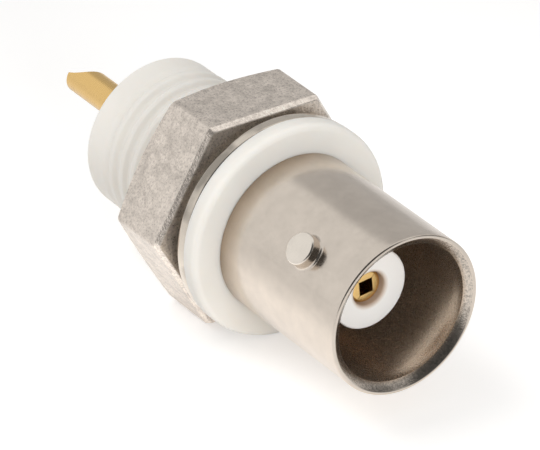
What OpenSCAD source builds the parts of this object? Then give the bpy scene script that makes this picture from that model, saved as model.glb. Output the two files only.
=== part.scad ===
// Insulated bulkhead BNC jack with a solder-cup tail.
// The mating axis lies along X with the mouth towards +X and Z upwards.
// The origin is the centre of the flange's rear face, which seats on the panel.
// All sizes are in millimetres.

/* [Jack shell] */

// Outside diameter of the mating barrel
barrel_d = 9.65; // [9:0.05:11]
// Length of the mating barrel, from the flange to the mouth
barrel_l = 10.76; // [9:0.01:14]
// Inside diameter of the mating barrel
barrel_bore = 8.2; // [7.6:0.05:8.6]
// Depth of the mating barrel, from the mouth to its floor
barrel_depth = 8.5; // [6:0.1:9.5]
// Width of the flat lip around the mouth
lip_w = 0.3; // [0.1:0.05:0.5]
// Depth of the lead-in chamfer behind the lip
lead_in = 0.3; // [0.1:0.05:0.8]
// Rounding of the mouth's outer edge
mouth_round = 0.12; // [0.05:0.01:0.3]
// Outside diameter of the neck that runs through the bush
neck_d = 6.4; // [5.6:0.1:7.6]
// How far the neck stands out behind the bush as the braid's solder collar
collar_l = 1; // [0.5:0.1:1.6]
// Chamfer on the collar's rear edge
collar_chamfer = 0.2; // [0.05:0.05:0.4]
// Height of the locking band the bush is moulded around
band_h = 0.3; // [0.1:0.05:0.5]
// Length of the locking band
band_l = 1.6; // [1:0.1:3]

/* [Bayonet lugs] */

// Diameter of each lug
lug_d = 1.9; // [1.6:0.05:2.4]
// Distance over the two lugs
lug_span = 11.06; // [10.6:0.02:11.2]
// Distance from the mouth to the lugs' centres
lug_back = 4.15; // [3.4:0.05:6]
// Direction of the first lug in degrees around the axis, from +Y towards +Z
lug_turn = 138.5; // [0:0.5:360]
// Rounding of each lug's top edge
lug_round = 0.15; // [0.05:0.01:0.3]

/* [Insulating bush] */

// Outside diameter of the flange
flange_d = 13.04; // [11:0.02:16]
// Thickness of the flange
flange_t = 1.04; // [0.8:0.02:2]
// Rounding of the flange's front edge
flange_round = 0.4; // [0.1:0.05:0.7]
// Major diameter of the barrel's 3/8-24 thread
thread_d = 9.525; // [9:0.005:10]
// Length of the threaded barrel behind the flange
thread_l = 12.6; // [10:0.1:16]
// Chamfer on the threaded barrel's end
thread_chamfer = 0.35; // [0.2:0.05:0.6]

/* [Dielectrics] */

// Outside diameter of both dielectrics
core_d = 4.84; // [4.4:0.02:5.2]
// How far the front dielectric's face lies behind the mouth
core_recess = 3.3; // [2.8:0.1:4.4]
// Where the two dielectrics meet, measured behind the flange seat
core_joint = 4; // [3:0.1:6]
// Rounding of the front dielectric's outer edge
core_round = 0.12; // [0.05:0.01:0.3]
// Thickness of the rolled lip that holds the rear dielectric in
roll_lip = 0.25; // [0.15:0.05:0.4]

/* [Centre contact] */

// Outside diameter of the socket
socket_d = 1.94; // [1.7:0.02:2.1]
// Bore of the socket
socket_bore = 1.36; // [1.3:0.01:1.5]
// Depth of the socket's bore
socket_depth = 5; // [4:0.1:6]
// How far the socket lies behind the dielectric's face
socket_recess = 0.36; // [0:0.02:0.8]
// Depth of the countersink in the socket's mouth
socket_sink = 0.12; // [0.02:0.01:0.2]
// Bevel on the outer edges of the contact's two ends
contact_ease = 0.08; // [0.02:0.01:0.15]
// Width of the slots that split the socket into fingers
slot_w = 0.2; // [0.12:0.02:0.3]
// Length of the slots
slot_l = 3.8; // [2:0.1:4.6]
// Direction of the first slot in degrees around the axis, from +Y towards +Z
slot_turn = 50; // [0:1:90]
// Diameter of the collar that holds the contact between the dielectrics
shoulder_d = 3; // [2.4:0.1:3.6]
// Length of that collar
shoulder_l = 1.4; // [1:0.1:2]
// Diameter of the solder tail
tail_d = 1.88; // [1.7:0.02:2.2]
// Distance from the flange seat to the tail's tip
tail_reach = 20.65; // [18:0.05:26]
// Bore of the solder cup
cup_bore = 1.3; // [1:0.02:1.5]
// Depth of the solder cup
cup_depth = 2.8; // [1.6:0.1:4]
// Length of the scoop cut in the cup's side
scoop_l = 1.6; // [1:0.1:2.6]
// Radius of the cutter that makes the scoop
scoop_r = 3; // [2:0.1:6]
// Share of the tail's diameter that the scoop takes away at the tip
scoop_share = 0.6; // [0.3:0.05:0.7]
// Direction the scoop faces in degrees around the axis, from +Y towards +Z
scoop_turn = 44; // [0:1:360]

/* [Nut and washer] */

// Width of the nut across its flats
nut_af = 12.6; // [11:0.1:16]
// Thickness of the nut
nut_t = 4.3; // [2.5:0.1:5]
// Gap between the washer and the nut as it is run on by hand
nut_gap = 0.65; // [0.1:0.05:4]
// Turn of the nut on its thread in degrees
nut_turn = -1; // [-30:0.5:30]
// Diameter of the round face left by the nut's rear chamfer
nut_face = 12.4; // [11:0.1:13]
// Slope of the nut's rear chamfer in degrees
nut_slope = 20; // [10:1:60]
// Bevel around the nut's front face
nut_bevel = 0.23; // [0.05:0.01:0.4]
// Depth of the countersink at each end of the nut's thread
nut_sink = 0.35; // [0.1:0.05:0.6]
// Running clearance of the nut's bore over the thread, on the radius
nut_clear = 0.05; // [0.01:0.01:0.1]
// Clearance of the washer's bore over the thread, on the radius
washer_clear = 0.14; // [0.05:0.01:0.4]
// Width of the washer's ring
washer_rim = 1.57; // [1:0.01:2.4]
// Thickness of the washer
washer_t = 0.94; // [0.5:0.02:1.4]
// Rounding of the washer's outer edges
washer_round = 0.25; // [0.05:0.01:0.45]

/* [Hidden] */

$fn = 64;
// Gap left between pieces that only slide together
ease = 0.02;
// Overlap that lets cutting shapes clear a face
over = 0.5;
// Number of chords in each rounded edge
chords = 6;

mouth_x = flange_t + barrel_l;
floor_x = mouth_x - barrel_depth;
neck_end = -thread_l - collar_l;
band_x = -thread_l / 2 - band_l / 2;
lug_x = mouth_x - lug_back;
core_front = mouth_x - core_recess;
socket_x = core_front - socket_recess;
shoulder_front = shoulder_l - core_joint;
washer_front = -ease;
washer_back = washer_front - washer_t;
washer_bore = thread_d + 2 * washer_clear;
washer_d = washer_bore + 2 * washer_rim;
nut_front = washer_back - nut_gap;
nut_back = nut_front - nut_t;
nut_bore = thread_d + 2 * nut_clear;
corner_r = nut_af / (2 * cos(30));

jack_shell();
insulating_bush();
front_dielectric();
rear_dielectric();
centre_contact();
washer();
hex_nut();

// Turns a shape drawn around Z so that its height runs along X.
module lay() rotate([0, 90, 0]) children();

// A solid of revolution around X, from a list of [x, radius] points.
module turned(points)
    lay() rotate_extrude() polygon([for (p = points) [p[1], p[0]]]);

// A round bar around X between two positions.
module bar(x0, x1, d)
    translate([x0, 0, 0]) lay() cylinder(h = x1 - x0, d = d);

// Points of a rounded edge, from angle a0 to a1 about [x, r].
function edge(x, r, e, a0, a1) =
    [for (i = [0:chords]) let (a = a0 + (a1 - a0) * i / chords)
        [x + e * cos(a), r + e * sin(a)]];

module jack_shell() color("LightGray") {
    turned(concat(
        [[neck_end, core_d / 2 - roll_lip],
         [neck_end, neck_d / 2 - collar_chamfer],
         [neck_end + collar_chamfer, neck_d / 2],
         [band_x, neck_d / 2],
         [band_x, neck_d / 2 + band_h],
         [band_x + band_l, neck_d / 2 + band_h],
         [band_x + band_l, neck_d / 2],
         [flange_t, neck_d / 2],
         [flange_t, barrel_d / 2]],
        edge(mouth_x - mouth_round, barrel_d / 2 - mouth_round,
             mouth_round, 90, 0),
        [[mouth_x, barrel_d / 2 - lip_w - mouth_round / 2],
         [mouth_x - lead_in, barrel_bore / 2],
         [floor_x, barrel_bore / 2],
         [floor_x, core_d / 2 + ease],
         [neck_end + roll_lip, core_d / 2 + ease],
         [neck_end + roll_lip, core_d / 2 - roll_lip]]));
    for (a = [0, 180]) bayonet_lug(lug_turn + a);
}

// One bayonet lug, rooted half way through the barrel's wall.
module bayonet_lug(turn) {
    root = (barrel_d + barrel_bore) / 4;
    translate([lug_x, 0, 0]) rotate([turn - 90, 0, 0]) rotate_extrude()
        polygon(concat(
            [[0, root], [lug_d / 2, root]],
            edge(lug_d / 2 - lug_round, lug_span / 2 - lug_round,
                 lug_round, 0, 90),
            [[0, lug_span / 2]]));
}

module insulating_bush() color("White")
    turned(concat(
        [[-thread_l, neck_d / 2 + ease],
         [-thread_l, thread_d / 2 - thread_chamfer],
         [-thread_l + thread_chamfer, thread_d / 2],
         [0, thread_d / 2],
         [0, flange_d / 2]],
        edge(flange_t - flange_round, flange_d / 2 - flange_round,
             flange_round, 90, 0),
        [[flange_t, neck_d / 2 + ease],
         [band_x + band_l + ease, neck_d / 2 + ease],
         [band_x + band_l + ease, neck_d / 2 + band_h + ease],
         [band_x - ease, neck_d / 2 + band_h + ease],
         [band_x - ease, neck_d / 2 + ease]]));

module front_dielectric() color("WhiteSmoke")
    turned(concat(
        [[-core_joint, shoulder_d / 2 + ease],
         [-core_joint, core_d / 2]],
        edge(core_front - core_round, core_d / 2 - core_round,
             core_round, 90, 0),
        [[core_front, socket_d / 2 + 2 * ease],
         [shoulder_front, socket_d / 2 + 2 * ease],
         [shoulder_front, shoulder_d / 2 + ease]]));

module rear_dielectric() color("WhiteSmoke")
    difference() {
        bar(neck_end + roll_lip, -core_joint, core_d);
        bar(neck_end + roll_lip - over, over - core_joint,
            tail_d + 2 * ease);
    }

module centre_contact() color("Gold")
    difference() {
        turned([
            [-tail_reach, 0],
            [-tail_reach, tail_d / 2 - contact_ease],
            [-tail_reach + contact_ease, tail_d / 2],
            [-core_joint, tail_d / 2],
            [-core_joint, shoulder_d / 2],
            [shoulder_front, shoulder_d / 2],
            [shoulder_front, socket_d / 2],
            [socket_x - contact_ease, socket_d / 2],
            [socket_x, socket_d / 2 - contact_ease],
            [socket_x, 0]]);
        socket_cut();
        cup_cut();
    }

// The socket's bore, its countersunk mouth and its four slots.
module socket_cut() {
    bar(socket_x - socket_depth, socket_x + over, socket_bore);
    translate([socket_x - socket_sink, 0, 0]) lay()
        cylinder(h = 2 * socket_sink, d1 = socket_bore,
                 d2 = socket_bore + 4 * socket_sink);
    for (a = [0, 90])
        rotate([slot_turn + a, 0, 0])
            translate([socket_x - slot_l, -slot_w / 2, -socket_d])
                cube([slot_l + over, slot_w, 2 * socket_d]);
}

// The solder cup's bore and the scoop that opens its side.
module cup_cut() {
    bar(-tail_reach - over, -tail_reach + cup_depth, cup_bore);
    depth = tail_d * scoop_share;
    lean = atan2(depth, scoop_l);
    reach = sqrt(depth * depth + scoop_l * scoop_l) / 2;
    drop = sqrt(scoop_r * scoop_r - reach * reach);
    rotate([scoop_turn, 0, 0])
        translate([-tail_reach + scoop_l / 2 - drop * sin(lean),
                   tail_d / 2 - depth / 2 + drop * cos(lean), 0])
            cylinder(h = tail_d + 2 * over, r = scoop_r, center = true);
}

module washer() color("Gainsboro")
    turned(concat(
        [[washer_back, washer_bore / 2]],
        edge(washer_back + washer_round, washer_d / 2 - washer_round,
             washer_round, 180, 90),
        edge(washer_front - washer_round, washer_d / 2 - washer_round,
             washer_round, 90, 0),
        [[washer_front, washer_bore / 2]]));

module hex_nut() color("DarkGray")
    difference() {
        intersection() {
            translate([nut_back, 0, 0]) rotate([nut_turn, 0, 0]) lay()
                rotate([0, 0, 30]) hex_blank();
            // The rear face is chamfered on the lathe.
            turned([
                [nut_back, 0],
                [nut_back, nut_face / 2],
                [nut_back + (corner_r + over - nut_face / 2) * tan(nut_slope),
                 corner_r + over],
                [nut_front, corner_r + over],
                [nut_front, 0]]);
        }
        turned([
            [nut_back - over, 0],
            [nut_back - over, nut_bore / 2 + nut_sink + over],
            [nut_back + nut_sink, nut_bore / 2],
            [nut_front - nut_sink, nut_bore / 2],
            [nut_front + over, nut_bore / 2 + nut_sink + over],
            [nut_front + over, 0]]);
    }

// The nut's hexagon, bevelled flat by flat around its front face.
module hex_blank() {
    cylinder(h = nut_t - nut_bevel, r = corner_r, $fn = 6);
    translate([0, 0, nut_t - nut_bevel])
        cylinder(h = nut_bevel, r1 = corner_r,
                 r2 = corner_r - nut_bevel / cos(30), $fn = 6);
}
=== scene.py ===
"""Dresses an insulated bulkhead BNC jack over its CAD solids.

The mating axis lies along X with the mouth towards +X and Z upwards. The origin is the
centre of the flange's rear face. All lengths are in metres, and MM turns millimetres
into metres where a size is written out.
"""

import math

import bmesh
import bpy
from bpy.props import FloatProperty, FloatVectorProperty, PointerProperty
from mathutils import Matrix, Vector


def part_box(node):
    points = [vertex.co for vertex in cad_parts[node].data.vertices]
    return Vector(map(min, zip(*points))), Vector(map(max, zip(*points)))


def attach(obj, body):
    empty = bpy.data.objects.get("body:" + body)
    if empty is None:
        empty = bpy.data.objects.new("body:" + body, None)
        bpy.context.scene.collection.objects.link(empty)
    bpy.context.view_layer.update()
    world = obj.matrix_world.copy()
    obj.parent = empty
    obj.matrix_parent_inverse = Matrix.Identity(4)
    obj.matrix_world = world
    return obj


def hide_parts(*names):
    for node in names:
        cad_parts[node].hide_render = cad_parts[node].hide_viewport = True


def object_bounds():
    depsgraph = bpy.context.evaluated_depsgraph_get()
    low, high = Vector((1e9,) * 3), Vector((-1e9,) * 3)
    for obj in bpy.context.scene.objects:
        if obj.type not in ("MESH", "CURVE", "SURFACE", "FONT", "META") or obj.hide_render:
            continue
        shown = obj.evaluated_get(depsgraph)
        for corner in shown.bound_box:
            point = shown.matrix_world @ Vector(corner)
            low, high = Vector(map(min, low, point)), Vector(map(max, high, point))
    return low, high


bl_info = {
    "name": "Bulkhead Jack",
    "version": (1, 0, 0),
    "blender": (4, 5, 0),
    "location": "3D View > Sidebar > Jack",
    "description": "Builds an insulated bulkhead coaxial jack piece by piece",
    "category": "Object",
}

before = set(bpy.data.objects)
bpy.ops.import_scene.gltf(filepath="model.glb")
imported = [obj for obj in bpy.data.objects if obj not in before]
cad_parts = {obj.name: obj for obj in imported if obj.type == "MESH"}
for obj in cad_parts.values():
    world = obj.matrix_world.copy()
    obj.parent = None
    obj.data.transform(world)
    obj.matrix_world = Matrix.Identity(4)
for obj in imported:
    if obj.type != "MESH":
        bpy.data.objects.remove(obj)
CAD_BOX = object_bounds()

MM = 0.001
AROUND = 192
# Clearance drawn between two pieces that fit inside each other.
SLIP = 0.02 * MM

SHELL_LOW, SHELL_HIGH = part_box("jack_shell")
BUSH_LOW, BUSH_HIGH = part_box("insulating_bush")
CORE_LOW, CORE_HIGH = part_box("front_dielectric")
CONTACT_LOW, CONTACT_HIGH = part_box("centre_contact")
WASHER_LOW, WASHER_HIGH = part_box("washer")
NUT_LOW, NUT_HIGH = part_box("hex_nut")


# ---------------------------------------------------------------- colours and nodes


def linear(code):
    """Turns an sRGB hex colour into linear red, green, blue and alpha."""
    channels = [int(code[i : i + 2], 16) / 255 for i in (1, 3, 5)]
    return tuple(
        c / 12.92 if c <= 0.04045 else ((c + 0.055) / 1.055) ** 2.4 for c in channels
    ) + (1.0,)


def per(size_mm):
    """Pattern repeats per metre for a detail of this many millimetres."""
    return 1 / (size_mm * MM)


def add(tree, kind, inputs=None, **settings):
    """Adds one node with its settings, and links or fills its inputs."""
    node = tree.nodes.new(kind)
    for key, value in settings.items():
        setattr(node, key, value)
    for key, value in (inputs or {}).items():
        if isinstance(value, bpy.types.NodeSocket):
            tree.links.new(value, node.inputs[key])
        else:
            node.inputs[key].default_value = value
    return node


def new_material(name):
    """Makes an empty material and returns it with its node tree."""
    material = bpy.data.materials.new(name)
    material.use_nodes = True
    material.node_tree.nodes.clear()
    return material, material.node_tree


# ---------------------------------------------------------------------- settings


def length(name, description, default, low=0.0):
    """A length that the user can change."""
    return FloatProperty(
        name=name, description=description, default=default, min=low, unit="LENGTH", precision=6
    )


def colour(name, description, code):
    """A colour that the user can change."""
    return FloatVectorProperty(
        name=name, description=description, default=linear(code), size=4,
        min=0.0, max=1.0, subtype="COLOR",
    )


class ShellSettings(bpy.types.PropertyGroup):
    barrel_d: length("Barrel diameter", "Outside diameter of the mating barrel", 9.65 * MM)
    bore_d: length("Bore", "Inside diameter of the mating barrel", 8.3 * MM)
    bore_depth: length("Bore depth", "Depth of the bore from the mouth", 8.5 * MM)
    lip: length("Lip", "Width of the flat lip around the mouth", 0.19 * MM)
    lead_in: length("Lead-in", "Depth of the chamfer behind the lip", 0.36 * MM)
    neck_d: length("Neck diameter", "Outside diameter of the neck inside the bush", 6.4 * MM)
    edge: length("Edge", "Rounding of the mouth's outer edge", 0.11 * MM)
    lug_d: length("Lug diameter", "Diameter of each bayonet lug", 1.9 * MM)
    lug_span: length("Lug span", "Distance over the two lugs", 11.06 * MM)
    lug_back: length("Lug position", "Distance from the mouth to the lugs", 4.15 * MM)
    lug_turn: FloatProperty(
        name="Lug direction", description="Direction of the near lug around the axis",
        default=math.radians(138.5), subtype="ANGLE",
    )
    tint: colour("Nickel", "Colour of the satin nickel plate", "#E2D7CB")
    brass: colour("Thin plate", "Colour where brass shows through thin plate", "#C4A88A")


class BushSettings(bpy.types.PropertyGroup):
    thread_d: length("Thread diameter", "Major diameter of the thread", 9.525 * MM)
    pitch: length("Pitch", "Distance from one thread to the next", 25.4 * MM / 24, 0.2 * MM)
    depth: length("Thread depth", "Depth of the thread's grooves", 0.17 * MM)
    plain: length("Plain end", "Length of the plain zone at the thread's end", 1.3 * MM)
    edge: length("Edge", "Rounding of the flange's front edge", 0.4 * MM)
    tint: colour("Plastic", "Colour of the moulded plastic", "#F3EFE8")


class CoreSettings(bpy.types.PropertyGroup):
    core_d: length("Diameter", "Diameter of the dielectric", 4.84 * MM)
    edge: length("Edge", "Rounding of the dielectric's front edge", 0.12 * MM)
    hole_edge: length("Hole edge", "Rounding of the hole around the socket", 0.2 * MM)
    tint: colour("Fluoropolymer", "Colour of the dielectric", "#FFFCF7")


class ContactSettings(bpy.types.PropertyGroup):
    socket_d: length("Socket diameter", "Outside diameter of the socket", 2 * MM)
    bore_d: length("Socket bore", "Bore of the socket", 1.36 * MM)
    bore_depth: length("Bore depth", "Depth of the socket's bore", 5 * MM)
    slot_w: length("Slot width", "Width of the slots between the fingers", 0.03 * MM)
    slot_l: length("Slot length", "Length of the slots between the fingers", 3.8 * MM)
    slot_turn: FloatProperty(
        name="Slot direction", description="Direction of the first slot around the axis",
        default=math.radians(50), subtype="ANGLE",
    )
    pinch: length("Pinch", "Half width of the square that the sprung fingers leave", 0.44 * MM)
    shoulder_d: length("Collar diameter", "Diameter of the collar in the dielectric", 3 * MM)
    shoulder_l: length("Collar length", "Length of that collar", 1.4 * MM)
    tail_d: length("Tail diameter", "Diameter of the solder tail", 1.88 * MM)
    cup_d: length("Cup bore", "Bore of the solder cup", 1.3 * MM)
    cup_depth: length("Cup depth", "Depth of the solder cup", 2.8 * MM)
    scoop_l: length("Scoop length", "Length of the scoop in the cup's side", 1.6 * MM)
    scoop_r: length("Scoop radius", "Radius of the cutter that makes the scoop", 3 * MM)
    scoop_depth: length("Scoop depth", "Depth of the scoop at the tip", 1.128 * MM)
    scoop_turn: FloatProperty(
        name="Scoop direction", description="Direction the scoop faces around the axis",
        default=math.radians(44), subtype="ANGLE",
    )
    tint: colour("Gold", "Colour of the gold flash", "#F2CB86")


class WasherSettings(bpy.types.PropertyGroup):
    bore_d: length("Bore", "Bore of the washer", 9.805 * MM)
    edge: length("Edge", "Rounding of the washer's rear edge", 0.42 * MM)
    tint: colour("Nickel", "Colour of the bright nickel plate", "#DED4C7")


class NutSettings(bpy.types.PropertyGroup):
    across: length("Across flats", "Width of the nut across its flats", 12.6 * MM)
    bore_d: length("Bore", "Bore of the nut over its thread's crests", 9.625 * MM)
    sink: length("Countersink", "Depth of the countersink at each end", 0.35 * MM)
    turn: FloatProperty(
        name="Turn", description="Turn of the nut on its thread",
        default=math.radians(-1), subtype="ANGLE",
    )
    rear_face: length("Rear face", "Diameter left by the rear chamfer", 12.4 * MM)
    rear_slope: FloatProperty(
        name="Rear slope", description="Slope of the rear chamfer",
        default=math.radians(20), subtype="ANGLE",
    )
    bevel: length("Bevel", "Bevel around the front face", 0.34 * MM)
    corner: length("Corner", "Rounding of the nut's six corners", 0.35 * MM)
    edge: length("Edge", "Rounding of the nut's other edges", 0.05 * MM)
    tint: colour("Nickel", "Colour of the dull nickel plate", "#EFE4D9")


class StageSettings(bpy.types.PropertyGroup):
    lens: FloatProperty(
        name="Lens", description="Focal length of the camera in millimetres",
        default=333.0, min=20.0,
    )
    camera_at: FloatVectorProperty(
        name="Camera", description="Place of the camera",
        default=(0.19627, -0.13683, 0.14227), subtype="TRANSLATION", unit="LENGTH",
    )
    camera_ray: FloatVectorProperty(
        name="View direction", description="Direction in which the camera looks",
        default=(-0.7063, 0.4898, -0.5113), subtype="DIRECTION",
    )
    floor: colour("Floor", "Colour of the floor", "#F4F3F2")


# ---------------------------------------------------------------------- mesh tools


def arc(x, r, e, start, end, steps=6):
    """Points of a rounded edge about (x, r), with angles in degrees."""
    angles = [math.radians(start + (end - start) * i / steps) for i in range(steps + 1)]
    return [(x + e * math.cos(a), r + e * math.sin(a)) for a in angles]


def around_x(x, r, angle):
    """The point at distance r from the axis, at an angle from +Y towards +Z."""
    return Vector((x, r * math.cos(angle), r * math.sin(angle)))


def join_rings(bm, rings, closed=False):
    """Skins a list of rings of vertices, each closed around the axis."""
    pairs = list(zip(rings, rings[1:]))
    if closed:
        pairs.append((rings[-1], rings[0]))
    for a, b in pairs:
        for i in range(len(a)):
            j = (i + 1) % len(a)
            bm.faces.new((a[i], a[j], b[j], b[i]))


def turn_profile(bm, points, closed=True, around=AROUND):
    """A solid of revolution around X. A closed profile is a ring, an open one meets the axis."""
    rings = [
        [bm.verts.new(around_x(x, r, math.tau * i / around)) for i in range(around)]
        for x, r in points
        if r > 0
    ]
    join_rings(bm, rings, closed)
    if not closed:
        for (x, r), ring in ((points[0], rings[0]), (points[-1], rings[-1])):
            tip = bm.verts.new((x, 0, 0))
            for i in range(around):
                bm.faces.new((ring[i], ring[(i + 1) % around], tip))


def skin_sections(bm, angles, sections):
    """Skins a closed section that changes with the angle around the axis."""
    rings = [
        [bm.verts.new(around_x(x, r, angle)) for angle, (x, r) in zip(angles, row)]
        for row in zip(*sections)
    ]
    join_rings(bm, rings, closed=True)


def shade_smooth(bm, sharp):
    """Makes a bmesh smooth, but for edges steeper than this many degrees."""
    steepest = math.radians(sharp)
    for face in bm.faces:
        face.smooth = True
    for edge in bm.edges:
        edge.smooth = len(edge.link_faces) != 2 or edge.calc_face_angle() <= steepest


def mesh_object(name, bm, sharp=32):
    """Makes an object from a bmesh, smooth but for edges steeper than this many degrees."""
    bmesh.ops.recalc_face_normals(bm, faces=bm.faces)
    shade_smooth(bm, sharp)
    mesh = bpy.data.meshes.new(name)
    bm.to_mesh(mesh)
    bm.free()
    piece = bpy.data.objects.new(name, mesh)
    bpy.context.scene.collection.objects.link(piece)
    return piece


def soften(piece, width, segments, steep):
    """Rounds a piece's edges that are steeper than this many degrees."""
    bevel = piece.modifiers.new("edge", "BEVEL")
    bevel.width = width
    bevel.segments = segments
    bevel.limit_method = "ANGLE"
    bevel.angle_limit = math.radians(steep)


def dress(piece, body, node, material):
    """Puts a piece in its CAD node's place, on its body, in its finish."""
    piece.data.materials.clear()
    piece.data.materials.append(material)
    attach(piece, body)
    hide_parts(node)
    return piece


def carve(piece, cutters):
    """Cuts every cutter out of a piece, and keeps the result as the piece's mesh."""
    for cutter in cutters:
        cut = piece.modifiers.new(cutter.name, "BOOLEAN")
        cut.operation = "DIFFERENCE"
        cut.solver = "EXACT"
        cut.object = cutter
    graph = bpy.context.evaluated_depsgraph_get()
    mesh = bpy.data.meshes.new_from_object(piece.evaluated_get(graph))
    if not mesh.vertices:
        raise RuntimeError(f"nothing is left of {piece.name} after its cuts")
    old = piece.data
    piece.modifiers.clear()
    piece.data = mesh
    mesh.name = piece.name
    bpy.data.meshes.remove(old)
    for cutter in cutters:
        bpy.data.objects.remove(cutter)


# ---------------------------------------------------------------------- materials


def satin_nickel(tint, brass, bore, root, rubbed):
    """Electroless nickel over turned brass, left satin.

    It gives the eye a soft, warm grey sheen with clear bands of light along the barrel,
    and a brown bore where the plate is thin, with painted shade in the bore and beside the bush.
    """
    material, tree = new_material("satin_nickel_plate")
    place = add(tree, "ShaderNodeTexCoord").outputs["Object"]
    # The plate's grain is finer than can be seen, and is drawn 0.09 mm wide.
    grain = add(
        tree, "ShaderNodeTexNoise", {"Vector": place, "Scale": per(0.09), "Detail": 3.0}
    ).outputs["Fac"]
    # Handling leaves cloudy patches 1.6 mm wide.
    cloud = add(
        tree, "ShaderNodeTexNoise",
        {"Vector": place, "Scale": per(1.6), "Detail": 6.0, "Roughness": 0.65},
    ).outputs["Fac"]
    across = add(
        tree, "ShaderNodeVectorMath", {0: place, 1: (0, 1, 1)}, operation="MULTIPLY"
    ).outputs[0]
    radius = add(tree, "ShaderNodeVectorMath", {0: across}, operation="LENGTH").outputs["Value"]
    # The bath hardly reaches the bore, so its plate is thin there. The bore is painted brown,
    # partly for that thin plate and partly as painted shade for the dim light inside it.
    inside = add(
        tree, "ShaderNodeMapRange",
        {
            "Value": radius, "From Min": bore + 0.02 * MM, "From Max": bore + 0.2 * MM,
            "To Min": 0.5, "To Max": 0.0,
        },
    ).outputs["Result"]
    # The lead-in is cut coarsely, with torn grain 0.14 mm wide.
    torn = add(
        tree, "ShaderNodeTexNoise",
        {"Vector": place, "Scale": per(0.14), "Detail": 4.0, "Roughness": 0.8},
    ).outputs["Fac"]
    along = add(tree, "ShaderNodeSeparateXYZ", {"Vector": place}).outputs["X"]
    # Close to the bush the plate is painted browner and darker, over 1.4 and 1.6 mm, as painted
    # shade where the barrel meets the bush.
    near = add(
        tree, "ShaderNodeMapRange",
        {
            "Value": along, "From Min": root, "From Max": root + 1.4 * MM,
            "To Min": 0.7, "To Max": 0.0,
        },
    ).outputs["Result"]
    dull = add(
        tree, "ShaderNodeMapRange",
        {
            "Value": along, "From Min": root, "From Max": root + 1.6 * MM,
            "To Min": 0.66, "To Max": 1.0,
        },
    ).outputs["Result"]
    # Thin plate in the bore and the painted shade beside the bush both take the brass colour.
    thin = add(tree, "ShaderNodeMath", {0: inside, 1: near}, operation="MAXIMUM").outputs[0]
    plain = add(
        tree, "ShaderNodeMapRange",
        {"Value": grain, "From Min": 0.3, "From Max": 0.7, "To Min": 0.15, "To Max": 0.25},
    ).outputs["Result"]
    rough = add(
        tree, "ShaderNodeMix", {0: inside, 2: plain, 3: 0.34}, data_type="FLOAT"
    ).outputs[0]
    fine = add(
        tree, "ShaderNodeBump", {"Height": grain, "Strength": 0.12, "Distance": 0.01 * MM}
    ).outputs["Normal"]
    edge = add(
        tree, "ShaderNodeMath", {0: radius, 1: bore + 0.23 * MM, 2: 0.2 * MM}, operation="COMPARE"
    ).outputs[0]
    tears = add(tree, "ShaderNodeMath", {0: edge, 1: 0.6}, operation="MULTIPLY").outputs[0]
    bump = add(
        tree, "ShaderNodeBump",
        {"Height": torn, "Strength": tears, "Distance": 0.02 * MM, "Normal": fine},
    ).outputs["Normal"]
    shade = add(
        tree, "ShaderNodeMapRange",
        {"Value": cloud, "From Min": 0.3, "From Max": 0.7, "To Min": 0.89, "To Max": 1.03},
    ).outputs["Result"]
    pits = add(
        tree, "ShaderNodeMapRange",
        {"Value": torn, "From Min": 0.4, "From Max": 0.55, "To Min": 0.55, "To Max": 1.0},
    ).outputs["Result"]
    pits = add(tree, "ShaderNodeMix", {0: edge, 2: 1.0, 3: pits}, data_type="FLOAT").outputs[0]
    # The hollow around each lug's foot is painted darker, as painted shade in the crease.
    hollow = add(tree, "ShaderNodeNewGeometry").outputs["Pointiness"]
    crease_shade = add(
        tree, "ShaderNodeMapRange",
        {"Value": hollow, "From Min": 0.42, "From Max": 0.49, "To Min": 0.35, "To Max": 1.0},
    ).outputs["Result"]
    shade = add(tree, "ShaderNodeMath", {0: shade, 1: crease_shade}, operation="MULTIPLY").outputs[0]
    # Painted shade darkens the barrel beside the bush.
    shade = add(tree, "ShaderNodeMath", {0: shade, 1: dull}, operation="MULTIPLY").outputs[0]
    shade = add(tree, "ShaderNodeMath", {0: shade, 1: pits}, operation="MULTIPLY").outputs[0]
    # Rubbing keeps the lugs' tops bright.
    top = add(
        tree, "ShaderNodeMapRange",
        {
            "Value": radius, "From Min": rubbed - 0.1 * MM, "From Max": rubbed,
            "To Min": 0.0, "To Max": 0.75,
        },
    ).outputs["Result"]
    # A film of oxide in the bore takes some of the metal's shine.
    metal = add(tree, "ShaderNodeMix", {0: inside, 2: 1.0, 3: 0.84}, data_type="FLOAT").outputs[0]
    plate = add(
        tree, "ShaderNodeMix", {0: thin, 6: tint, 7: brass}, data_type="RGBA"
    ).outputs[2]
    plate = add(
        tree, "ShaderNodeMix", {0: top, 6: plate, 7: linear("#FBF3E8")}, data_type="RGBA"
    ).outputs[2]
    tone = add(
        tree, "ShaderNodeMix", {0: 1.0, 6: plate, 7: shade},
        data_type="RGBA", blend_type="MULTIPLY",
    ).outputs[2]
    shader = add(
        tree, "ShaderNodeBsdfPrincipled",
        {"Base Color": tone, "Metallic": metal, "Roughness": rough, "Normal": bump},
    ).outputs["BSDF"]
    add(tree, "ShaderNodeOutputMaterial", {"Surface": shader})
    return material


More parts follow.
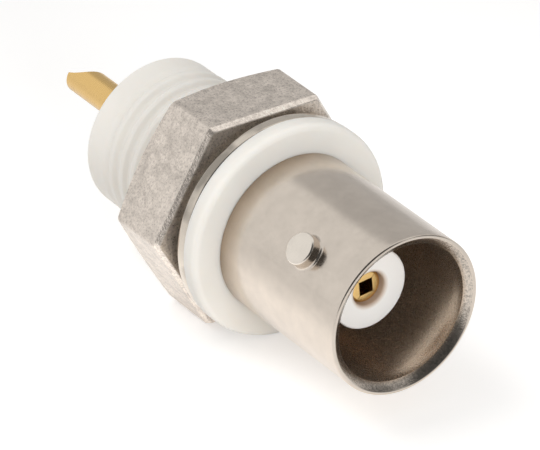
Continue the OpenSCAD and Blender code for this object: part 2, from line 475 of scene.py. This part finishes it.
def bright_nickel(tint):
    """Bright nickel plate over a stamped washer.

    It gives the eye clear dark and light lines that bend around the rounded rim, and painted dark
    reflections along it.
    """
    material, tree = new_material("bright_nickel_plate")
    place = add(tree, "ShaderNodeTexCoord").outputs["Object"]
    # Tumbling leaves shallow marks 0.5 mm long.
    marks = add(
        tree, "ShaderNodeTexNoise", {"Vector": place, "Scale": per(0.5), "Detail": 3.0}
    ).outputs["Fac"]
    # Dark patches about 2 mm long are painted into the rim, as painted dark reflections.
    dark_reflection_patches = add(
        tree, "ShaderNodeTexNoise", {"Vector": place, "Scale": per(2), "Detail": 2.0}
    ).outputs["Fac"]
    rough = add(
        tree, "ShaderNodeMapRange",
        {"Value": marks, "From Min": 0.3, "From Max": 0.7, "To Min": 0.13, "To Max": 0.24},
    ).outputs["Result"]
    bump = add(
        tree, "ShaderNodeBump", {"Height": marks, "Strength": 0.3, "Distance": 0.02 * MM}
    ).outputs["Normal"]
    shade = add(
        tree, "ShaderNodeMapRange",
        {"Value": dark_reflection_patches, "From Min": 0.36, "From Max": 0.5, "To Min": 0.5, "To Max": 1.0},
    ).outputs["Result"]
    tone = add(
        tree, "ShaderNodeMix", {0: 1.0, 6: tint, 7: shade},
        data_type="RGBA", blend_type="MULTIPLY",
    ).outputs[2]
    shader = add(
        tree, "ShaderNodeBsdfPrincipled",
        {"Base Color": tone, "Metallic": 1.0, "Roughness": rough, "Normal": bump},
    ).outputs["BSDF"]
    add(tree, "ShaderNodeOutputMaterial", {"Surface": shader})
    return material


def dull_nickel(tint):
    """Barrel-plated nickel over machined bar, dull and tumbled.

    It gives the eye a mottled grey with a dark grain, small bright specks and a painted
    highlight along the front bevel.
    """
    material, tree = new_material("dull_nickel_plate")
    place = add(tree, "ShaderNodeTexCoord").outputs["Object"]
    # Tumbling peens the faces into dents about 0.13 mm wide.
    peened = add(
        tree, "ShaderNodeTexNoise",
        {"Vector": place, "Scale": per(0.13), "Detail": 3.0, "Roughness": 0.6},
    ).outputs["Fac"]
    # Thin and thick plate mottle the grey in patches 0.7 mm wide.
    mottle = add(
        tree, "ShaderNodeTexNoise",
        {"Vector": place, "Scale": per(0.7), "Detail": 5.0, "Roughness": 0.7},
    ).outputs["Fac"]
    rough = add(
        tree, "ShaderNodeMapRange",
        {"Value": peened, "From Min": 0.3, "From Max": 0.7, "To Min": 0.24, "To Max": 0.42},
    ).outputs["Result"]
    bump = add(
        tree, "ShaderNodeBump", {"Height": peened, "Strength": 0.7, "Distance": 0.04 * MM}
    ).outputs["Normal"]
    dents = add(
        tree, "ShaderNodeMapRange",
        {"Value": peened, "From Min": 0.34, "From Max": 0.62, "To Min": 0.72, "To Max": 1.0},
    ).outputs["Result"]
    shade = add(
        tree, "ShaderNodeMapRange",
        {"Value": mottle, "From Min": 0.36, "From Max": 0.6, "To Min": 0.8, "To Max": 1.08},
    ).outputs["Result"]
    shade = add(tree, "ShaderNodeMath", {0: shade, 1: dents}, operation="MULTIPLY").outputs[0]
    # The front bevel, which leans half towards the mouth, is painted brighter and smoother, as a
    # painted highlight.
    facing = add(tree, "ShaderNodeTexCoord").outputs["Normal"]
    lean = add(tree, "ShaderNodeSeparateXYZ", {"Vector": facing}).outputs["X"]
    cut = add(tree, "ShaderNodeMath", {0: lean, 1: 0.5, 2: 0.16}, operation="COMPARE").outputs[0]
    bevel_highlight = add(
        tree, "ShaderNodeMath", {0: cut, 1: 0.2, 2: 1.0}, operation="MULTIPLY_ADD"
    ).outputs[0]
    shade = add(tree, "ShaderNodeMath", {0: shade, 1: bevel_highlight}, operation="MULTIPLY").outputs[0]
    rough = add(tree, "ShaderNodeMix", {0: cut, 2: rough, 3: 0.2}, data_type="FLOAT").outputs[0]
    tone = add(
        tree, "ShaderNodeMix", {0: 1.0, 6: tint, 7: shade},
        data_type="RGBA", blend_type="MULTIPLY",
    ).outputs[2]
    shader = add(
        tree, "ShaderNodeBsdfPrincipled",
        # Tumbling compound left in the dents takes some of the metal's shine.
        {"Base Color": tone, "Metallic": 0.82, "Roughness": rough, "Normal": bump},
    ).outputs["BSDF"]
    add(tree, "ShaderNodeOutputMaterial", {"Surface": shader})
    return material


def gold_flash(tint):
    """Hard gold flash over turned brass.

    It gives the eye a pale, warm gold that deepens in the cup and between the fingers.
    """
    material, tree = new_material("hard_gold_flash")
    place = add(tree, "ShaderNodeTexCoord").outputs["Object"]
    # Turning lines run around the pin, 0.08 mm apart.
    along = add(
        tree, "ShaderNodeMapping", {"Vector": place, "Scale": (per(0.08), per(3), per(3))}
    ).outputs["Vector"]
    lines = add(
        tree, "ShaderNodeTexNoise", {"Vector": along, "Scale": 1.0, "Detail": 2.0}
    ).outputs["Fac"]
    rough = add(
        tree, "ShaderNodeMapRange",
        {"Value": lines, "From Min": 0.3, "From Max": 0.7, "To Min": 0.2, "To Max": 0.32},
    ).outputs["Result"]
    bump = add(
        tree, "ShaderNodeBump", {"Height": lines, "Strength": 0.2, "Distance": 0.01 * MM}
    ).outputs["Normal"]
    shader = add(
        tree, "ShaderNodeBsdfPrincipled",
        {"Base Color": tint, "Metallic": 1.0, "Roughness": rough, "Normal": bump},
    ).outputs["BSDF"]
    add(tree, "ShaderNodeOutputMaterial", {"Surface": shader})
    return material


def moulded_plastic(tint):
    """Glass-filled nylon, moulded in natural white.

    It gives the eye a matt white that glows a little at its edges.
    """
    material, tree = new_material("moulded_nylon")
    place = add(tree, "ShaderNodeTexCoord").outputs["Object"]
    # The mould's spark-eroded face is drawn 0.2 mm coarse, so that it shows.
    skin = add(
        tree, "ShaderNodeTexNoise", {"Vector": place, "Scale": per(0.2), "Detail": 3.0}
    ).outputs["Fac"]
    # The melt's flow leaves faint patches 3 mm wide.
    flow = add(
        tree, "ShaderNodeTexNoise", {"Vector": place, "Scale": per(3), "Detail": 2.0}
    ).outputs["Fac"]
    rough = add(
        tree, "ShaderNodeMapRange",
        {"Value": skin, "From Min": 0.3, "From Max": 0.7, "To Min": 0.42, "To Max": 0.58},
    ).outputs["Result"]
    bump = add(
        tree, "ShaderNodeBump", {"Height": skin, "Strength": 0.15, "Distance": 0.02 * MM}
    ).outputs["Normal"]
    shade = add(
        tree, "ShaderNodeMapRange",
        {"Value": flow, "From Min": 0.3, "From Max": 0.7, "To Min": 0.96, "To Max": 1.0},
    ).outputs["Result"]
    tone = add(
        tree, "ShaderNodeMix", {0: 1.0, 6: tint, 7: shade},
        data_type="RGBA", blend_type="MULTIPLY",
    ).outputs[2]
    shader = add(
        tree, "ShaderNodeBsdfPrincipled",
        {
            "Base Color": tone, "Roughness": rough, "Normal": bump, "IOR": 1.53,
            "Subsurface Weight": 0.5, "Subsurface Radius": (1.0, 0.9, 0.8),
            "Subsurface Scale": 0.8 * MM,
        },
    ).outputs["BSDF"]
    add(tree, "ShaderNodeOutputMaterial", {"Surface": shader})
    return material


def turned_fluoropolymer(tint, hole):
    """Fluoropolymer rod, turned to size.

    It gives the eye a waxy, slightly translucent white, with painted brown reflection and shade
    next to the gold.
    """
    material, tree = new_material("turned_fluoropolymer")
    place = add(tree, "ShaderNodeTexCoord").outputs["Object"]
    # The tool smears the soft polymer in waves 0.3 mm wide.
    skin = add(
        tree, "ShaderNodeTexNoise", {"Vector": place, "Scale": per(0.3), "Detail": 3.0}
    ).outputs["Fac"]
    rough = add(
        tree, "ShaderNodeMapRange",
        {"Value": skin, "From Min": 0.3, "From Max": 0.7, "To Min": 0.35, "To Max": 0.5},
    ).outputs["Result"]
    bump = add(
        tree, "ShaderNodeBump", {"Height": skin, "Strength": 0.1, "Distance": 0.02 * MM}
    ).outputs["Normal"]
    across = add(
        tree, "ShaderNodeVectorMath", {0: place, 1: (0, 1, 1)}, operation="MULTIPLY"
    ).outputs[0]
    radius = add(tree, "ShaderNodeVectorMath", {0: across}, operation="LENGTH").outputs["Value"]
    # The rim of the hole, 0.25 mm deep, is painted brown as the gold's reflection and shade.
    near = add(
        tree, "ShaderNodeMapRange",
        {
            "Value": radius, "From Min": hole, "From Max": hole + 0.25 * MM,
            "To Min": 0.6, "To Max": 0.0,
        },
    ).outputs["Result"]
    tone = add(
        tree, "ShaderNodeMix", {0: near, 6: tint, 7: linear("#A8793F")}, data_type="RGBA"
    ).outputs[2]
    shader = add(
        tree, "ShaderNodeBsdfPrincipled",
        {
            "Base Color": tone, "Roughness": rough, "Normal": bump, "IOR": 1.38,
            "Subsurface Weight": 0.3, "Subsurface Radius": (1.0, 0.95, 0.9),
            "Subsurface Scale": 0.4 * MM,
        },
    ).outputs["BSDF"]
    add(tree, "ShaderNodeOutputMaterial", {"Surface": shader})
    return material


def pale_floor(tint):
    """Matt white card, lifted to white for the camera and for reflections.

    It gives the eye a plain white ground that keeps the object's soft shadow.
    """
    material, tree = new_material("matt_white_card")
    rays = add(tree, "ShaderNodeLightPath").outputs
    place = add(tree, "ShaderNodeTexCoord").outputs["Object"]
    away = add(tree, "ShaderNodeVectorMath", {0: place}, operation="LENGTH").outputs["Value"]
    # Reflections see the card brightest within 14 mm of the object.
    near = add(
        tree, "ShaderNodeMapRange",
        {
            "Value": away, "From Min": 14 * MM, "From Max": 19 * MM,
            "To Min": 0.32, "To Max": 0.16,
        },
    ).outputs["Result"]
    other = add(
        tree, "ShaderNodeMath",
        {0: rays["Is Glossy Ray"], 1: rays["Is Transmission Ray"]}, operation="MAXIMUM",
    ).outputs[0]
    other = add(tree, "ShaderNodeMath", {0: other, 1: near}, operation="MULTIPLY").outputs[0]
    # The camera sees it lifted by 0.36, so only the deeper shadow shows.
    lift = add(
        tree, "ShaderNodeMath",
        {0: rays["Is Camera Ray"], 1: 0.36, 2: other}, operation="MULTIPLY_ADD",
    ).outputs[0]
    # The card is painted a little greyer from 12 to 45 mm away from the object, as the painted
    # fall-off of the light pooled around it.
    tone = add(
        tree, "ShaderNodeMapRange",
        {
            "Value": away, "From Min": 12 * MM, "From Max": 45 * MM,
            "To Min": 1.0, "To Max": 0.75,
        },
    ).outputs["Result"]
    shade = add(
        tree, "ShaderNodeMix", {0: 1.0, 6: tint, 7: tone},
        data_type="RGBA", blend_type="MULTIPLY",
    ).outputs[2]
    card = add(tree, "ShaderNodeBsdfDiffuse", {"Color": shade}).outputs["BSDF"]
    glow = add(
        tree, "ShaderNodeEmission", {"Color": (1, 1, 1, 1), "Strength": lift}
    ).outputs["Emission"]
    both = add(tree, "ShaderNodeAddShader", {0: card, 1: glow}).outputs["Shader"]
    add(tree, "ShaderNodeOutputMaterial", {"Surface": both})
    return material


# ---------------------------------------------------------------------- pieces


class JACK_OT_shell(bpy.types.Operator):
    """Build the nickel-plated shell with its bayonet lugs"""

    bl_idname = "bulkhead_jack.shell"
    bl_label = "Shell"

    def execute(self, context):
        s = context.scene.jack_shell
        mouth, front, back = SHELL_HIGH.x, BUSH_HIGH.x, SHELL_LOW.x
        outer, bore, neck = s.barrel_d / 2, s.bore_d / 2, s.neck_d / 2
        core = context.scene.jack_core.core_d / 2
        floor = mouth - s.bore_depth
        # The lip rolled over the rear dielectric, and the tool's radius in every corner.
        roll = 0.25 * MM
        soft = 0.05 * MM
        profile = (
            [(back, core - roll), (back, neck - 4 * soft), (back + 4 * soft, neck)]
            + [(front, neck), (front, outer - soft), (front + soft, outer)]
            + [(front + (mouth - front) * i / 12, outer) for i in range(1, 12)]
            + arc(mouth - s.edge, outer - s.edge, s.edge, 90, 0)
            + arc(mouth - soft, outer - s.lip + soft * 0.4, soft, 0, -45, 3)
            + [(mouth - s.lead_in, bore + soft * 0.4), (mouth - s.lead_in - soft, bore)]
            + [(mouth - s.lead_in - i * MM, bore) for i in range(1, 8)]
            + arc(floor + 2 * soft, bore - 2 * soft, 2 * soft, 90, 180, 4)
            + [(floor, core + SLIP), (back + roll, core + SLIP), (back + roll, core - roll)]
        )
        bm = bmesh.new()
        turn_profile(bm, profile)
        for side in (0, math.pi):
            self.lug(bm, s, mouth - s.lug_back, s.lug_turn + side)
        piece = mesh_object("nickel_shell", bm)
        finish = satin_nickel(s.tint, s.brass, bore, front, s.lug_span / 2)
        dress(piece, "jack", "jack_shell", finish)
        return {"FINISHED"}

    def lug(self, bm, s, x, turn):
        """One lug, rooted in the barrel's wall, with a small fillet around its foot."""
        steps = 64
        radius, top, outer = s.lug_d / 2, s.lug_span / 2, s.barrel_d / 2
        crest = 0.12 * MM
        foot = 0.16 * MM
        # The root is sunk into the barrel's wall, and two rings frame the straight wall.
        sunk = 0.3 * MM
        frame_gap = 0.03 * MM
        # Each ring has a radius and a height over the barrel, or over the axis for the top.
        root = [(radius + foot, -sunk, True)]
        fillet = [(r, h, True) for r, h in arc(radius + foot, foot, foot, 270, 180)]
        wall = [(radius, foot + frame_gap, True), (radius, top - crest - frame_gap, False)]
        crown = [(r, h, False) for r, h in arc(radius - crest, top - crest, crest, 0, 90)]
        place = Matrix.Translation((x, 0, 0)) @ Matrix.Rotation(turn - math.pi / 2, 4, "X")
        rings = []
        for r, h, over in root + fillet + wall + crown:
            ring = []
            for i in range(steps):
                angle = math.tau * i / steps
                along, across = r * math.cos(angle), r * math.sin(angle)
                height = math.sqrt(outer**2 - across**2) + h if over else h
                ring.append(bm.verts.new(place @ Vector((along, across, height))))
            rings.append(ring)
        join_rings(bm, rings)
        bm.faces.new(rings[-1])
        bm.faces.new(list(reversed(rings[0])))


class JACK_OT_bush(bpy.types.Operator):
    """Mould the white bush with its flange and thread"""

    bl_idname = "bulkhead_jack.bush"
    bl_label = "Bush"

    def execute(self, context):
        s = context.scene.jack_bush
        around = AROUND // 2
        angles = [math.tau * i / around for i in range(around)]
        neck = context.scene.jack_shell.neck_d / 2 + SLIP
        bm = bmesh.new()
        skin_sections(bm, angles, [self.section(s, neck, angle) for angle in angles])
        piece = mesh_object("threaded_bush", bm)
        dress(piece, "jack", "insulating_bush", moulded_plastic(s.tint))
        return {"FINISHED"}

    def section(self, s, neck, angle):
        """Points of the bush's section at one angle, from its rear end to the flange."""
        back, front, flange = BUSH_LOW.x, BUSH_HIGH.x, BUSH_HIGH.z
        crest = s.thread_d / 2
        end = 0.16 * MM
        start = back + end
        rows = int(-back / (s.pitch / 20))
        thread = [start - start * row / rows for row in range(1, rows)]
        return (
            [(back, neck)]
            + arc(start, crest - 0.05 * MM - end, end, 180, 90, 5)
            + [(x, self.radius(s, x, angle, back)) for x in thread]
            + [(0, crest), (0, flange)]
            + arc(front - s.edge, flange - s.edge, s.edge, 90, 0, 8)
            + [(front, neck)]
        )

    def radius(self, s, x, angle, back):
        """Radius of the soft, moulded thread at one place."""
        turn = (x / s.pitch - angle / math.tau) % 1
        wave = 0.5 - 0.5 * math.cos(math.tau * turn)
        # The crests are a little wider than the grooves, whose floors are flat.
        groove = s.depth * min(1, max(0, 1.35 * wave - 0.2))
        # The grooves fade in over one pitch at the plain end, and out over 0.6 mm at the flange.
        run_in = min(1, max(0, (x - back - s.plain) / s.pitch))
        run_out = min(1, max(0, -x / (0.6 * MM)))
        # The plain end is drawn 0.05 mm lower than the crests.
        low = 0.05 * MM * (1 - run_in)
        return s.thread_d / 2 - low - groove * run_in * run_out


class JACK_OT_core(bpy.types.Operator):
    """Turn the front dielectric and finish the rear one"""

    bl_idname = "bulkhead_jack.core"
    bl_label = "Dielectrics"

    def execute(self, context):
        s = context.scene.jack_core
        front, back = CORE_HIGH.x, CORE_LOW.x
        outer = s.core_d / 2
        contact = context.scene.jack_contact
        hole, collar = contact.socket_d / 2 + SLIP, contact.shoulder_d / 2 + SLIP
        seat = back + contact.shoulder_l
        profile = (
            [(back, collar), (back, outer)]
            + [(back + (front - back) * i / 8, outer) for i in range(1, 8)]
            + arc(front - s.edge, outer - s.edge, s.edge, 90, 0)
            + arc(front - s.hole_edge, hole + s.hole_edge, s.hole_edge, 0, -90, 6)
            + [(seat, hole), (seat, collar)]
        )
        bm = bmesh.new()
        turn_profile(bm, profile)
        piece = mesh_object("front_core", bm)
        material = turned_fluoropolymer(s.tint, hole)
        dress(piece, "jack", "front_dielectric", material)
        # The rear sleeve keeps its CAD shape, in the same finish.
        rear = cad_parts["rear_dielectric"]
        rear.data.materials.clear()
        rear.data.materials.append(material)
        return {"FINISHED"}


class JACK_OT_contact(bpy.types.Operator):
    """Turn, slot, scoop and spring the gold centre contact"""

    bl_idname = "bulkhead_jack.contact"
    bl_label = "Centre contact"

    def execute(self, context):
        s = context.scene.jack_contact
        tip, mouth = CONTACT_LOW.x, CONTACT_HIGH.x
        tail, socket, collar = s.tail_d / 2, s.socket_d / 2, s.shoulder_d / 2
        back, front = CORE_LOW.x, CORE_LOW.x + s.shoulder_l
        # The ends' bevel; the fingers' noses are rounded over twice its size.
        ease = 0.08 * MM
        # A ring this far behind the mouth lets the fingers bend.
        bend = 1.2 * MM
        profile = (
            [(tip, 0), (tip, tail - ease)]
            + arc(tip + ease, tail - ease, ease, 150, 90, 3)
            + [(back, tail), (back, collar), (front, collar), (front, socket)]
            + [(mouth - bend, socket)]
            + arc(mouth - 2 * ease, socket - 2 * ease, 2 * ease, 90, 0, 6)
            + [(mouth, 0)]
        )
        bm = bmesh.new()
        turn_profile(bm, profile, closed=False, around=96)
        piece = mesh_object("gold_contact", bm)
        cutters = [
            self.rod("socket_bore", mouth - s.bore_depth, mouth + MM, s.bore_d / 2),
            self.rod("cup_bore", tip - MM, tip + s.cup_depth, s.cup_d / 2),
            self.scoop(s, tip),
        ]
        for turn in (0, math.pi / 2):
            cutters.append(self.slot(s, mouth, s.slot_turn + turn))
        carve(piece, cutters)
        self.spring(s, piece.data, mouth)
        bm = bmesh.new()
        bm.from_mesh(piece.data)
        shade_smooth(bm, sharp=28)
        bm.to_mesh(piece.data)
        bm.free()
        soften(piece, 0.02 * MM, segments=2, steep=40)
        dress(piece, "jack", "centre_contact", gold_flash(s.tint))
        return {"FINISHED"}

    def rod(self, name, x0, x1, radius):
        """A round cutter around the axis."""
        bm = bmesh.new()
        turn_profile(bm, [(x0, 0), (x0, radius), (x1, radius), (x1, 0)], closed=False, around=64)
        return mesh_object(name, bm)

    def slot(self, s, mouth, turn):
        """A thin cutter across the whole socket."""
        bm = bmesh.new()
        bmesh.ops.create_cube(bm, size=1.0)
        size = Matrix.Diagonal((s.slot_l + MM, s.slot_w, 2 * s.socket_d, 1))
        centre = Matrix.Translation((mouth + (MM - s.slot_l) / 2, 0, 0))
        spin = Matrix.Rotation(turn - math.pi / 2, 4, "X")
        bm.transform(spin @ centre @ size)
        return mesh_object(f"slot_{round(math.degrees(turn))}", bm)

    def scoop(self, s, tip):
        """A round cutter laid across the tip, leaning along the cup."""
        lean = math.atan2(s.scoop_depth, s.scoop_l)
        reach = math.hypot(s.scoop_depth, s.scoop_l) / 2
        drop = math.sqrt(s.scoop_r**2 - reach**2)
        x = tip + s.scoop_l / 2 - drop * math.sin(lean)
        y = s.tail_d / 2 - s.scoop_depth / 2 + drop * math.cos(lean)
        bm = bmesh.new()
        steps = 160
        rings = [
            [
                bm.verts.new((
                    x + s.scoop_r * math.cos(math.tau * i / steps),
                    y + s.scoop_r * math.sin(math.tau * i / steps),
                    z,
                ))
                for i in range(steps)
            ]
            for z in (-s.tail_d, s.tail_d)
        ]
        join_rings(bm, rings)
        bm.faces.new(rings[1])
        bm.faces.new(list(reversed(rings[0])))
        bm.transform(Matrix.Rotation(s.scoop_turn, 4, "X"))
        return mesh_object("scoop", bm)

    def spring(self, s, mesh, mouth):
        """Sets the fingers inwards, to leave a square mouth with a slot at each corner."""
        root = mouth - s.slot_l
        inner, outer = s.bore_d / 2, s.socket_d / 2
        # The square's corners are cut off a little, and the socket's outside shrinks by 1%.
        corner, shrunk = 1.38 * s.pinch, 0.99 * outer
        for vertex in mesh.vertices:
            x, y, z = vertex.co
            if x <= root:
                continue
            radius = math.hypot(y, z)
            # Points inside the bore's wall stay, such as its floor when the bore is short.
            if radius < inner * 0.98:
                continue
            share = ((x - root) / (mouth - root)) ** 2
            angle = math.atan2(z, y)
            off = (angle - s.slot_turn + math.pi / 4) % (math.pi / 2) - math.pi / 4
            from_mid = math.pi / 4 - abs(off)
            flat = min(s.pinch / math.cos(from_mid), corner)
            target = flat + (radius - inner) / (outer - inner) * (shrunk - flat)
            scale = 1 + share * (target / radius - 1)
            vertex.co = (x, y * scale, z * scale)


class JACK_OT_washer(bpy.types.Operator):
    """Stamp the bright washer"""

    bl_idname = "bulkhead_jack.washer"
    bl_label = "Washer"

    def execute(self, context):
        s = context.scene.jack_washer
        back, front = WASHER_LOW.x, WASHER_HIGH.x
        outer, bore = WASHER_HIGH.z, s.bore_d / 2
        # The bore's edges are only broken.
        soft = 0.06 * MM
        # The punch rolls the rear edge over more than the front one.
        roll = 0.4 * s.edge
        profile = (
            arc(back + soft, bore + soft, soft, 270, 180, 3)
            + arc(back + s.edge, outer - s.edge, s.edge, 180, 90, 8)
            + arc(front - roll, outer - roll, roll, 90, 0, 8)
            + arc(front - soft, bore + soft, soft, 0, -90, 3)
        )
        bm = bmesh.new()
        turn_profile(bm, profile)
        piece = mesh_object("bright_washer", bm, sharp=50)
        dress(piece, "washer", "washer", bright_nickel(s.tint))
        return {"FINISHED"}


class JACK_OT_nut(bpy.types.Operator):
    """Mill and thread the hexagon nut"""

    bl_idname = "bulkhead_jack.nut"
    bl_label = "Nut"

    def execute(self, context):
        s, bush = context.scene.jack_nut, context.scene.jack_bush
        angles = self.angles(s.turn)
        bm = bmesh.new()
        skin_sections(bm, angles, [self.section(s, bush, angle) for angle in angles])
        piece = mesh_object("hexagon_nut", bm, sharp=20)
        soften(piece, s.edge, segments=3, steep=15)
        dress(piece, "nut", "hex_nut", dull_nickel(s.tint))
        return {"FINISHED"}

    def angles(self, turn):
        """Angles around the nut, close together at its six corners."""
        count = 16
        steps = []
        for corner in range(6):
            centre = turn + math.radians(60 * corner)
            for i in range(-count, count):
                share = i / count
                # A step far from a corner is nearly five times one beside it.
                steps.append(centre + math.radians(30) * share * (0.35 + 0.65 * abs(share)))
        return steps

    def section(self, s, bush, angle):
        """Points of the nut's section at one angle, outside first and then the thread."""
        back, front = NUT_LOW.x, NUT_HIGH.x
        bore, face = s.bore_d / 2, s.rear_face / 2
        side = self.side(s, angle)
        # The front bevel's width is 0.6 of its depth, and the rear chamfer is a cone.
        seat = front - s.bevel
        rear = back + max(0, side - face) * math.tan(s.rear_slope)
        flat = [(seat + (rear - seat) * step / 8, side) for step in range(9)]
        # Where a flat lies inside the rear face, the edge is kept 0.01 mm wide.
        foot = min(face, side - 0.01 * MM)
        span = front - back - 2 * s.sink
        rows = int(span / (bush.pitch / 12))
        thread = [back + s.sink + span * row / rows for row in range(1, rows)]
        return (
            [(front - s.sink, bore), (front, bore + s.sink), (front, side - 0.6 * s.bevel)]
            + flat
            + [(back, foot), (back, bore + s.sink), (back + s.sink, bore)]
            + [(x, self.groove(s, bush, x, angle)) for x in thread]
        )

    def side(self, s, angle):
        """Distance of the nut's side from the axis, with its corner rounded."""
        half = math.radians(30)
        off = (angle - s.turn + half) % (2 * half) - half
        # The rounding circle touches both flats that meet at the corner.
        centre = (s.across / 2 - s.corner) / math.cos(half)
        reach = math.atan2(s.corner * math.sin(half), centre + s.corner * math.cos(half))
        if abs(off) < reach:
            return centre * math.cos(off) + math.sqrt(
                s.corner**2 - (centre * math.sin(off)) ** 2
            )
        return s.across / 2 / math.cos(half - abs(off))

    def groove(self, s, bush, x, angle):
        """Radius of the nut's thread at one place, opposite the bush's."""
        deep = 0.3 * MM
        turn = (x / bush.pitch - angle / math.tau) % 1
        wave = 0.5 + 0.5 * math.cos(math.tau * turn)
        return s.bore_d / 2 + deep * wave


class JACK_OT_stage(bpy.types.Operator):
    """Set up the floor, the lamps, the white surroundings and the camera"""

    bl_idname = "bulkhead_jack.stage"
    bl_label = "Stage"

    def execute(self, context):
        s = context.scene.jack_stage
        self.floor(s)
        self.surroundings()
        # The key light comes from above on the left, the other one shines into the mouth.
        self.lamp("key_lamp", (-0.2, -0.28, 0.58), size=0.4, level=0.36)
        self.lamp("front_lamp", (0.55, -0.13, 0.17), size=0.25, level=0.42)
        self.camera(s)
        context.scene.view_settings.view_transform = "Standard"
        return {"FINISHED"}

    def floor(self, s):
        """A wide pale card under the flange."""
        bm = bmesh.new()
        low = CAD_BOX[0][2]
        # Half the card's width, in metres.
        wide = 3
        corners = ((-wide, -wide), (wide, -wide), (wide, wide), (-wide, wide))
        bm.faces.new([bm.verts.new((x, y, low)) for x, y in corners])
        card = mesh_object("floor", bm)
        card.data.materials.append(pale_floor(s.floor))

    def surroundings(self):
        """A white room with a grey wall and two dark sides, for reflections to pick up."""
        world = bpy.data.worlds.new("white_room")
        bpy.context.scene.world = world
        world.use_nodes = True
        tree = world.node_tree
        tree.nodes.clear()
        rays = add(tree, "ShaderNodeLightPath").outputs
        way = add(tree, "ShaderNodeTexCoord").outputs["Generated"]
        room = 0.82
        # A grey wall behind, the dark side where the lens stands and a dark end on the
        # right. Each has its direction, the dot product where it starts, how soft its edge
        # is and how dark it is.
        for wall, edge, width, depth in (
            ((-0.706, 0.607, 0.365), 0.84, 0.04, 0.38),
            ((0.72, -0.4, 0.57), 0.57, 0.1, 0.91),
            ((0.45, 0.8, 0.3), 0.86, 0.08, 0.8),
        ):
            facing = add(
                tree, "ShaderNodeVectorMath", {0: way, 1: wall}, operation="DOT_PRODUCT"
            ).outputs["Value"]
            shade = add(
                tree, "ShaderNodeMapRange",
                {
                    "Value": facing, "From Min": edge, "From Max": edge + width,
                    "To Min": 1.0, "To Max": 1.0 - depth,
                },
            ).outputs["Result"]
            room = add(tree, "ShaderNodeMath", {0: room, 1: shade}, operation="MULTIPLY").outputs[0]
        # Matt surfaces get an even, softer light, and the lens sees plain white.
        light = add(
            tree, "ShaderNodeMix",
            {0: rays["Is Diffuse Ray"], 2: room, 3: 0.54}, data_type="FLOAT",
        ).outputs[0]
        strength = add(
            tree, "ShaderNodeMix",
            {0: rays["Is Camera Ray"], 2: light, 3: 1.0}, data_type="FLOAT",
        ).outputs[0]
        glow = add(
            tree, "ShaderNodeBackground", {"Color": (1.0, 0.995, 0.985, 1), "Strength": strength}
        ).outputs["Background"]
        add(tree, "ShaderNodeOutputWorld", {"Surface": glow})

    def lamp(self, name, place, size, level):
        """A square soft box aimed at the object, as bright as its level on a white card."""
        data = bpy.data.lights.new(name, "AREA")
        data.shape = "SQUARE"
        data.size = size
        distance = Vector(place).length
        data.energy = level * math.pi**2 * distance**2
        box = bpy.data.objects.new(name, data)
        bpy.context.scene.collection.objects.link(box)
        box.location = place
        box.rotation_euler = Vector(place).to_track_quat("Z", "Y").to_euler()
        box.visible_glossy = False

    def camera(self, s):
        """A long lens, level in roll, aimed as the settings say."""
        data = bpy.data.cameras.new("camera")
        data.sensor_width = 36.0
        data.lens = s.lens
        # Metres, from closer than any piece to beyond the floor's edge.
        data.clip_start, data.clip_end = 0.005, 20.0
        eye = bpy.data.objects.new("camera", data)
        bpy.context.scene.collection.objects.link(eye)
        eye.location = s.camera_at
        eye.rotation_euler = Vector(s.camera_ray).to_track_quat("-Z", "Y").to_euler()
        bpy.context.scene.camera = eye


class JACK_PT_panel(bpy.types.Panel):
    """Lists the jack's pieces and their settings"""

    bl_idname = "JACK_PT_panel"
    bl_label = "Bulkhead jack"
    bl_space_type = "VIEW_3D"
    bl_region_type = "UI"
    bl_category = "Jack"

    def draw(self, context):
        for operator, settings in STEPS:
            box = self.layout.box()
            box.operator(operator.bl_idname)
            group = getattr(context.scene, settings)
            for name in group.bl_rna.properties.keys():
                if name not in {"rna_type", "name"}:
                    box.prop(group, name)


SETTINGS = {
    "jack_shell": ShellSettings,
    "jack_bush": BushSettings,
    "jack_core": CoreSettings,
    "jack_contact": ContactSettings,
    "jack_washer": WasherSettings,
    "jack_nut": NutSettings,
    "jack_stage": StageSettings,
}
STEPS = (
    (JACK_OT_shell, "jack_shell"),
    (JACK_OT_bush, "jack_bush"),
    (JACK_OT_core, "jack_core"),
    (JACK_OT_contact, "jack_contact"),
    (JACK_OT_washer, "jack_washer"),
    (JACK_OT_nut, "jack_nut"),
    (JACK_OT_stage, "jack_stage"),
)


def register():
    for name, group in SETTINGS.items():
        bpy.utils.register_class(group)
        setattr(bpy.types.Scene, name, PointerProperty(type=group))
    for operator, _ in STEPS:
        bpy.utils.register_class(operator)
    bpy.utils.register_class(JACK_PT_panel)


def unregister():
    bpy.utils.unregister_class(JACK_PT_panel)
    for operator, _ in reversed(STEPS):
        bpy.utils.unregister_class(operator)
    for name, group in SETTINGS.items():
        delattr(bpy.types.Scene, name)
        bpy.utils.unregister_class(group)


def main():
    register()
    for operator, _ in STEPS:
        group, name = operator.bl_idname.split(".")
        getattr(getattr(bpy.ops, group), name)()


if __name__ == "__main__":
    main()
